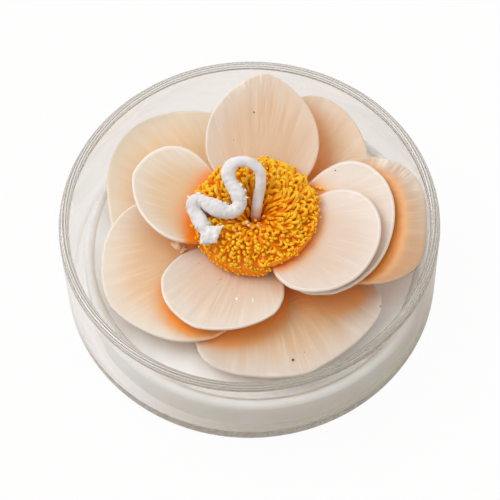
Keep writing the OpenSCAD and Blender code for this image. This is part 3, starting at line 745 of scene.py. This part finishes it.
# Its route from the flower's middle and the pit's floor, in millimetres
WICK_ROUTE = [(0, 0, -1), (0, 0, 1.8), (0.2, 0.4, 3.4), (0.6, 2, 5.2), (1.3, 4.2, 7.2),
    (1.6, 5.9, 9.2), (1.3, 7.2, 10.8), (0.1, 8.2, 11.8), (-1.6, 8.8, 12.2), (-3.4, 9, 12.2),
    (-5.2, 8.4, 12), (-6.3, 6.8, 11.3), (-6, 5.1, 10.4), (-5, 3.6, 9.6), (-4, 2, 8.8),
    (-3.5, 0.4, 8), (-4.1, -1.3, 7.5), (-5.6, -2, 7.2), (-7.4, -1.7, 7.1), (-9.3, -0.6, 7.1),
    (-11.2, 0.6, 7.1), (-12.7, 1.5, 7), (-14, 1.8, 6.8), (-14.6, 0.7, 6.4), (-14.3, -0.8, 6),
    (-13.4, -2.6, 5.6), (-12.2, -4.6, 5.4), (-11.2, -6.6, 5.1), (-10.8, -8.4, 4.8)]

cotton, tree, shader = new_material("waxed_cotton")
along_wick = read_attribute(tree, "run")
strands = noise(tree, 1500.0, 4.0)
lumps = noise(tree, 420.0, 3.0)
skin = blend(tree, ramp(lumps, 0.3, 0.75), colour("#d5d1cf"), colour("#ebe8e8"))
skin = blend(tree, (1 - ramp(along_wick, 0.03, 0.12)) * 0.75, skin, colour("#eec49a"))
feed(tree, shader.inputs["Base Color"], skin)
feed(tree, shader.inputs["Roughness"], 0.5 + 0.2 * strands)
spread_light(shader, 0.1, 0.8 * mm, (1.0, 0.9, 0.8))
bump(tree, shader, lumps + 0.4 * strands, 0.3 * mm, 0.6)

tree, size = new_tree("wick", {
    "Geometry": "Geometry", "Diameter": "Float", "Swell": "Float", "Flare": "Float",
    "Lumps": "Float", "Rings": "Int", "Sides": "Int", "Shred Count": "Float",
    "Shred Length": "Float", "Seed": "Int", "Cotton": "Material"})
route = add_node(tree, "GeometryNodeResampleCurve", Curve=size["Geometry"], Count=size["Rings"])
run = fetch(tree, "GeometryNodeSplineParameter")
loose = ramp(run, 0.32, 0.49)
spread = 1 + (size["Flare"] - 1) * ramp(run, 0.9, 1.0)
swelling = fetch(tree, "ShaderNodeTexNoise", Scale=300.0, Detail=2.0)
thick = (size["Diameter"] * 0.5 * spread * (1 + (size["Swell"] - 1) * loose)
    * (1 + (0.12 + 0.6 * loose) * (swelling - 0.5)))
marked = keep(tree, route.outputs[0], "run", run)
ring = add_node(tree, "GeometryNodeCurvePrimitiveCircle", Resolution=size["Sides"], Radius=1.0)
tube = add_node(tree, "GeometryNodeCurveToMesh", Curve=marked, Profile_Curve=ring.outputs[0],
    Scale=thick, Fill_Caps=True)
# Lumps and creases, and shreds that stand off where the braid has come loose
run_here = fetch(tree, "GeometryNodeInputNamedAttribute", {"data_type": "FLOAT"}, Name="run")
loose_here = ramp(run_here, 0.36, 0.5)
creases = fetch(tree, "ShaderNodeTexNoise", Scale=520.0, Detail=4.0)
creases = 0.5 - reckon("ABSOLUTE", creases - 0.5) * 3
outwards = tree.nodes.new("GeometryNodeInputNormal")
push = add_node(tree, "ShaderNodeVectorMath", {"operation": "SCALE"}, Vector=outwards.outputs[0],
    Scale=creases * size["Lumps"] * (0.18 + loose_here))
nubbly = add_node(tree, "GeometryNodeSetPosition", Geometry=tube.outputs[0], Offset=push.outputs[0])
torn = add_node(tree, "GeometryNodeDistributePointsOnFaces", Mesh=nubbly.outputs[0],
    Density=size["Shred Count"] * ramp(run_here, 0.42, 0.6), Seed=size["Seed"])
shred_length = size["Shred Length"]
shred = filament(tree, 4, lambda t: 0.3 * shred_length * t * t, lambda t: 0.0,
    lambda t: shred_length * (t - 0.15), lambda t: 0.55 * mm * (1 - 0.96 * t ** 1.4))
flat = chance(tree, 0.5, 1.3, 9)
shreds = add_node(tree, "GeometryNodeInstanceOnPoints", Points=torn.outputs["Points"],
    Instance=shred, Rotation=torn.outputs["Rotation"],
    Scale=point(tree, flat, flat * 0.35, chance(tree, 0.5, 1.4, 12)))
leaning = add_node(tree, "GeometryNodeRotateInstances", Instances=shreds.outputs[0],
    Rotation=point(tree, chance(tree, -1.4, 1.4, 10), chance(tree, -1.4, 1.4, 11), 0.0))
together = tree.nodes.new("GeometryNodeJoinGeometry")
tree.links.new(leaning.outputs[0], together.inputs[0])
tree.links.new(nubbly.outputs[0], together.inputs[0])
end_tree(tree, together.outputs[0], size["Cotton"])

route = bpy.data.curves.new("wick_route", "CURVE")
route.dimensions = "3D"
spline = route.splines.new("NURBS")
spline.points.add(len(WICK_ROUTE) - 1)
for knot, (x, y, z) in zip(spline.points, WICK_ROUTE):
    knot.co = (flower_x + x * mm, flower_y + y * mm, crown_floor + z * mm, 1.0)
spline.use_endpoint_u = True
spline.order_u = 3
wick = grow("wick_look", tree, {
    "Diameter": wick_d, "Swell": 1.3, "Flare": 0.85, "Lumps": 0.5 * mm, "Rings": 260,
    "Sides": 28, "Shred Count": 110000.0, "Shred Length": 0.9 * mm, "Seed": 3,
    "Cotton": cotton}, route)
dress(wick, cotton)
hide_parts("wick")

# The torn end is a flat flake with ragged points: direction in degrees and length in millimetres
FLAKE_POINTS = [(14, 2.5), (32, 4.1), (47, 2.6), (76, 2.1), (104, 2.1), (130, 2.5), (150, 3.3),
    (172, 2.4), (198, 2.7), (221, 3.6), (243, 2.4), (274, 2.3), (303, 2.5), (336, 2.1)]


def flake_reach(angle):
    """Radius of the flake in a direction: straight edges between its points."""
    turns = [a for a, _ in FLAKE_POINTS] + [FLAKE_POINTS[0][0] + 360]
    reaches = [r for _, r in FLAKE_POINTS] + [FLAKE_POINTS[0][1]]
    angle = (angle - turns[0]) % 360 + turns[0]
    i = max(k for k in range(len(FLAKE_POINTS)) if turns[k] <= angle)
    share = (angle - turns[i]) / (turns[i + 1] - turns[i])
    dip = 1 - 0.1 * math.sin(math.pi * share)
    return (reaches[i] + (reaches[i + 1] - reaches[i]) * share) * dip * mm


flake_middle = Vector((flower_x, flower_y, crown_floor)) + Vector((-10.7, -7.3, 6.4)) * mm
flake_turn = Matrix.Rotation(math.radians(14), 3, "X") @ Matrix.Rotation(math.radians(-8), 3, "Y")
flake_steps = 84
flake_rings = [0.25, 0.5, 0.75, 0.92, 1.0]
upper, lower = [Vector((0, 0, 0.75 * mm))], [Vector((0, 0, -0.45 * mm))]
for share in flake_rings:
    for step in range(flake_steps):
        angle = 360 * step / flake_steps
        reach = flake_reach(angle) * share
        heading = math.radians(angle)
        spot = Vector((math.cos(heading), math.sin(heading), 0)) * reach
        crumple = noise_at(spot * 700 + Vector((3, 1, 7))) * 0.7 * mm
        body = 1 - share ** 2.5
        upper.append(spot + Vector((0, 0, (0.62 * body + 0.12) * mm + crumple)))
        lower.append(spot + Vector((0, 0, (-0.35 * body - 0.12) * mm + crumple)))
corners = [flake_middle + flake_turn @ c for c in upper + lower]
faces = []
for is_lower, start in ((False, 0), (True, len(upper))):
    for step in range(flake_steps):
        beside = (step + 1) % flake_steps
        cap = [start, start + 1 + step, start + 1 + beside]
        faces.append(cap[::-1] if is_lower else cap)
        for ring_index in range(len(flake_rings) - 1):
            near = start + 1 + ring_index * flake_steps
            far = near + flake_steps
            face = [near + step, far + step, far + beside, near + beside]
            faces.append(face[::-1] if is_lower else face)
upper_rim = 1 + (len(flake_rings) - 1) * flake_steps
lower_rim = len(upper) + upper_rim
for step in range(flake_steps):
    beside = (step + 1) % flake_steps
    faces.append([upper_rim + step, lower_rim + step, lower_rim + beside, upper_rim + beside])
flake_mesh = bpy.data.meshes.new("wick_flake")
flake_mesh.from_pydata(corners, [], faces)
flake = bpy.data.objects.new("wick_flake", flake_mesh)
bpy.context.scene.collection.objects.link(flake)
run_marks = flake_mesh.attributes.new("run", "FLOAT", "POINT")
for mark in run_marks.data:
    mark.value = 1.0
dress(flake, cotton)


# Loose bits: crumbs of yellow and peach wax from the moulds, soot specks, and drops of clear wax.
# Each is a small closed lump, dropped straight down on what lies under its place and sunk in a
# little. The peach crumbs lie under the left inner petal's edge, so they fall from below it.

# Each row is x, y and radius in millimetres, and flatness
YELLOW_CRUMBS = [(17.3, 10.6, 0.55, 0.8), (16.5, 11.0, 0.4, 0.9), (18.0, 10.1, 0.3, 0.9),
    (-7.4, -11.6, 0.2, 0.9), (-10.6, -10.2, 0.16, 1.0), (-8.0, -13.1, 0.12, 1.0),
    (-12.4, -7.1, 0.2, 0.9), (-4.4, -14.4, 0.14, 0.9)]
PALE_CRUMBS = [(-0.58, -0.63, 0.42, 0.8), (0.58, -1.68, 0.46, 0.8), (1.77, -1.32, 0.42, 0.8),
    (1.0, -0.6, 0.3, 0.9), (2.7, -0.5, 0.26, 0.9), (-0.2, -1.5, 0.28, 0.9),
    (-2.99, -3.35, 0.3, 0.9), (-3.4, -3.0, 0.18, 0.9)]
PEACH_CRUMBS = [(-17.0, -1.4, 1.35, 0.45), (-15.8, -2.2, 0.8, 0.5), (-18.3, -0.7, 0.6, 0.5),
    (-16.2, -3.0, 0.4, 0.7)]
SOOT_SPECKS = [(9.19, -32.18, 0.3, 0.6), (1.94, 30.81, 0.2, 0.6), (21.05, 14.38, 0.16, 0.6),
    (30.2, -19.65, 0.2, 0.6), (11.9, -30.2, 0.1, 0.6), (-3.2, 24.0, 0.1, 0.6)]
CLEAR_DROPS = [(-3.44, -17.32, 0.42, 0.5), (-2.9, -17.9, 0.2, 0.5), (0.34, -17.4, 0.18, 0.5),
    (0.33, -17.7, 0.22, 0.5), (0.31, -18.0, 0.25, 0.5), (0.3, -18.3, 0.22, 0.5),
    (0.29, -18.6, 0.18, 0.5)]

resting_places = mesh_tree(petals + [stamens, crown_node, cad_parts["wax_disc"]])


def scatter(name, crumbs, material, roughness=0.35, fall_from=60 * mm):
    """One piece of many lumps, each a bumpy ball lying where it falls."""
    mesh = bmesh.new()
    for x, y, radius, flatness in crumbs:
        start = Vector((x * mm, y * mm, fall_from))
        landing, slope, _, _ = resting_places.ray_cast(start, Vector((0, 0, -1)))
        ball = bmesh.ops.create_icosphere(mesh, subdivisions=3 if radius > 0.25 else 2, radius=1.0)
        tilted = slope.to_track_quat("Z", "Y").to_matrix()
        for vertex in ball["verts"]:
            spot = vertex.co.copy()
            spot *= 1 + roughness * noise_at(spot * 1.7 + landing * 4000)
            spot.z = spot.z * flatness + 0.35 * flatness
            vertex.co = landing + tilted @ (spot * radius * mm)
    data = bpy.data.meshes.new(name)
    mesh.to_mesh(data)
    mesh.free()
    piece = bpy.data.objects.new(name, data)
    bpy.context.scene.collection.objects.link(piece)
    dress(piece, material)
    for face in data.polygons:
        face.use_smooth = True


def crumb_wax(name, dark, light, roughness, subsurface):
    """Wax of a loose bit, mottled between two shades."""
    material, tree, shader = new_material(name)
    mottling = noise(tree, 1200.0, 3.0)
    feed(tree, shader.inputs["Base Color"], blend(tree, mottling, colour(dark), colour(light)))
    feed(tree, shader.inputs["Roughness"], roughness + 0.1 * mottling)
    spread_light(shader, subsurface, 0.5 * mm)
    bump(tree, shader, mottling, 0.1 * mm, 0.5)
    return material


yellow_crumb_wax = crumb_wax("yellow_crumb_wax", "#f5ae1c", "#ffd43c", 0.4, 0.1)
pale_crumb_wax = crumb_wax("pale_crumb_wax", "#f2d2a4", "#fbeedd", 0.3, 0.2)
peach_crumb_wax = crumb_wax("peach_crumb_wax", "#fac79c", "#ffdcbc", 0.4, 0.2)
soot = crumb_wax("soot", "#3d3022", "#6b563c", 0.7, 0.0)
clear_drop_wax = crumb_wax("clear_drop_wax", "#fbf3ee", "#fffaf6", 0.08, 0.3)
scatter("yellow_crumbs", YELLOW_CRUMBS, yellow_crumb_wax)
scatter("pale_crumbs", PALE_CRUMBS, pale_crumb_wax, 0.6)
scatter("peach_crumbs", PEACH_CRUMBS, peach_crumb_wax, 0.6, 20 * mm)
scatter("soot_specks", SOOT_SPECKS, soot, 0.6)
scatter("clear_drops", CLEAR_DROPS, clear_drop_wax, 0.1)


# Studio: a plain white floor, a broad soft lamp from the upper left, and the photograph's view.
# The floor and the sky look white to the camera and pale in the glass, and they light the candle
# at a plain level.
white = (1.0, 1.0, 1.0, 1.0)
floor_size = 3.0
bpy.ops.mesh.primitive_plane_add(size=floor_size, location=(0, 0, -0.05 * mm))
floor = bpy.context.object
floor.name = "studio_floor"
floor_paint = bpy.data.materials.new("studio_floor")
floor_paint.use_nodes = True
tree = floor_paint.node_tree
tree.nodes.clear()
paper = add_node(tree, "ShaderNodeBsdfDiffuse", Color=colour("#dcd8d2"))
floor_x, floor_y, _ = parts(tree, add_node(tree, "ShaderNodeTexCoord").outputs["Object"])
to_front = ramp(0.6 * floor_x - 0.9 * floor_y, 0.0, 48 * mm)


def light_paths(tree):
    """What kind of ray meets the surface: each output of a Light Path node, as a term."""
    return {s.name: Term(tree, s) for s in tree.nodes.new("ShaderNodeLightPath").outputs}


rays = light_paths(tree)
# Painted shadow: the floor seen in the glass darkens towards the front right, where the candle's
# shadow falls from the upper left
seen_in_glass = blend(tree, to_front, colour("#f6f1ed"), colour("#b2aa9a"))
# The middle of the floor, which only the candle's underside sees, is a light table for its wax
table_light = (1.15, 1.12, 1.08, 1.0)
off_middle = (floor_x ** 2.0 + floor_y ** 2.0) ** 0.5
table = 1 - ramp(off_middle, 40 * mm, 45 * mm)
first_sight = reckon("LESS_THAN", rays["Diffuse Depth"], 0.5)
seen_in_glass = blend(tree, first_sight, table_light, seen_in_glass)
shine = add_node(tree, "ShaderNodeEmission", Strength=1.0,
    Color=blend(tree, rays["Is Camera Ray"], seen_in_glass, white))
in_glass = reckon("MINIMUM", rays["Is Glossy Ray"] + rays["Is Transmission Ray"], 1.0)
# Light that has already met wax finds the plain floor outside that table
camera_share, glass_share = 0.96, 0.85
seen = reckon("MAXIMUM", rays["Is Camera Ray"] * camera_share,
    in_glass * (glass_share * first_sight + table * (1 - first_sight)))
surface = add_node(tree, "ShaderNodeMixShader", Fac=seen)
tree.links.new(paper.outputs[0], surface.inputs[1])
tree.links.new(shine.outputs[0], surface.inputs[2])
tree.links.new(surface.outputs[0], tree.nodes.new("ShaderNodeOutputMaterial").inputs[0])
floor.data.materials.append(floor_paint)

world = bpy.data.worlds.new("studio_sky")
bpy.context.scene.world = world
world.use_nodes = True
tree = world.node_tree
tree.nodes.clear()
heading = add_node(tree, "ShaderNodeTexCoord").outputs["Generated"]
to_right, to_back, height = parts(tree, heading)
rays = light_paths(tree)
in_glass = reckon("MINIMUM", rays["Is Glossy Ray"] + rays["Is Transmission Ray"], 1.0)
overhead = (1.7, 1.68, 1.65, 1.0)
studio = blend(tree, ramp(height, 0.0, 0.6), colour("#efece6"), overhead)
# A window that shows in the glass as white glints
window_way = Vector((-0.75, 0.47, 0.45)).normalized()
window_light = (6.0, 6.0, 6.0, 1.0)
toward = add_node(tree, "ShaderNodeVectorMath", {"operation": "DOT_PRODUCT"}, Vector=heading)
toward.inputs[1].default_value = window_way
glint = ramp(Term(tree, toward.outputs["Value"]), 0.975, 0.99)
studio = blend(tree, glint, studio, window_light)
first_sight = reckon("LESS_THAN", rays["Diffuse Depth"], 0.5)
# The sky is brighter at the back left, and dimmer where the photographer stands
from_back = ramp(0.83 * to_back - 0.55 * to_right, -0.9, 0.9)
glass_front, glass_back = (0.85, 0.84, 0.82, 1.0), (1.85, 1.84, 1.82, 1.0)
plain_front, plain_back = (0.6, 0.59, 0.58, 1.0), (1.02, 1.01, 1.0, 1.0)
through_glass = blend(tree, from_back, glass_front, glass_back)
plain_sky = blend(tree, from_back, plain_front, plain_back)
studio = blend(tree, first_sight, through_glass, studio)
sky = blend(tree, in_glass, plain_sky, studio)
sky = blend(tree, rays["Is Camera Ray"], sky, white)
backdrop = add_node(tree, "ShaderNodeBackground", Color=sky, Strength=1.0)
tree.links.new(backdrop.outputs[0], tree.nodes.new("ShaderNodeOutputWorld").inputs[0])


def lamp(name, spot, side, watts):
    """A square soft lamp that points at the candle."""
    light = bpy.data.lights.new(name, "AREA")
    light.size = side
    light.energy = watts
    holder = bpy.data.objects.new(name, light)
    holder.location = spot
    holder.rotation_euler = (-Vector(spot)).to_track_quat("-Z", "Y").to_euler()
    bpy.context.scene.collection.objects.link(holder)


lamp("key_lamp", (-0.38, 0.12, 0.55), 0.42, 1.5)
lamp("window", (0.38, -0.2, 0.55), 0.16, 0.15)

# The view that the dish's outline in the photograph gives
eye_elevation = math.radians(60.52)
eye_distance = 0.54997
eye_aim = Vector((-0.04 * mm, 0.0, 12.73 * mm))
eye_roll = math.radians(-1.73)
camera_data = bpy.data.cameras.new("camera")
camera_data.lens = 164.08
camera_data.sensor_width = 36.0
camera_data.clip_start = 0.01
camera = bpy.data.objects.new("camera", camera_data)
to_eye = Vector((0.0, -math.cos(eye_elevation), math.sin(eye_elevation)))
turned = Matrix.Rotation(math.pi / 2 - eye_elevation, 4, "X") @ Matrix.Rotation(eye_roll, 4, "Z")
camera.matrix_world = Matrix.Translation(eye_aim + eye_distance * to_eye) @ turned
bpy.context.scene.collection.objects.link(camera)
bpy.context.scene.camera = camera
bpy.context.scene.view_settings.view_transform = "Standard"
# Light runs far down inside the glass wall before it leaves it, so its paths may be long
bpy.context.scene.cycles.max_bounces = 96
bpy.context.scene.cycles.glossy_bounces = 96
bpy.context.scene.cycles.transmission_bounces = 24
